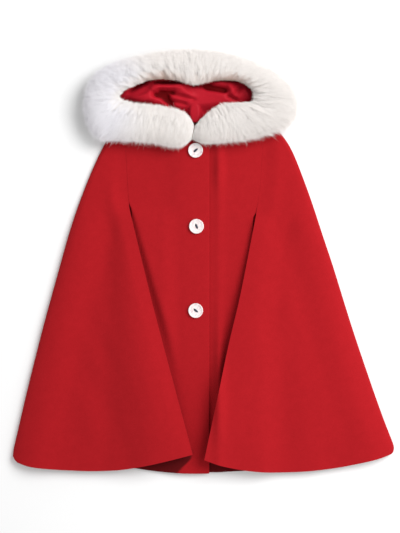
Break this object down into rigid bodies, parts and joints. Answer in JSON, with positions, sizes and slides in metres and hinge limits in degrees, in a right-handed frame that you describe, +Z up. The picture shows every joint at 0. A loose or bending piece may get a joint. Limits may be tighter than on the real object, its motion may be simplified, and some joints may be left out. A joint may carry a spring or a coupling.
{
  "type": "child's hooded wool cape",
  "caption": "Child's flared wool cape with arm slits, buttoned front and a hood edged in fur, laid flat on its back.",
  "frame": {"origin": "on the surface that the cape lies on, under the middle of its bounding box", "axes": "+X across the cape to the wearer's left (right in the picture), +Y from the hem to the hood, +Z up from the surface, out of the front"},
  "size_m": [0.5348, 0.5934, 0.038],
  "materials": {
    "wool": "felted, matt, with a fine nap",
    "satin": "smooth satin weave with a soft sheen",
    "fur": "dense soft pile",
    "shell": "polished, pearly"
  },
  "bodies": {
    "root": {"back_panel": "wool", "right_front": "wool", "left_front": "wool", "right_side_panel": "wool", "left_side_panel": "wool", "hood_shell_right": "wool", "hood_shell_left": "wool", "hood_lining": "satin", "fur_trim": "fur", "button_top": "shell", "button_middle": "shell", "button_bottom": "shell"}
  },
  "joints": []
}
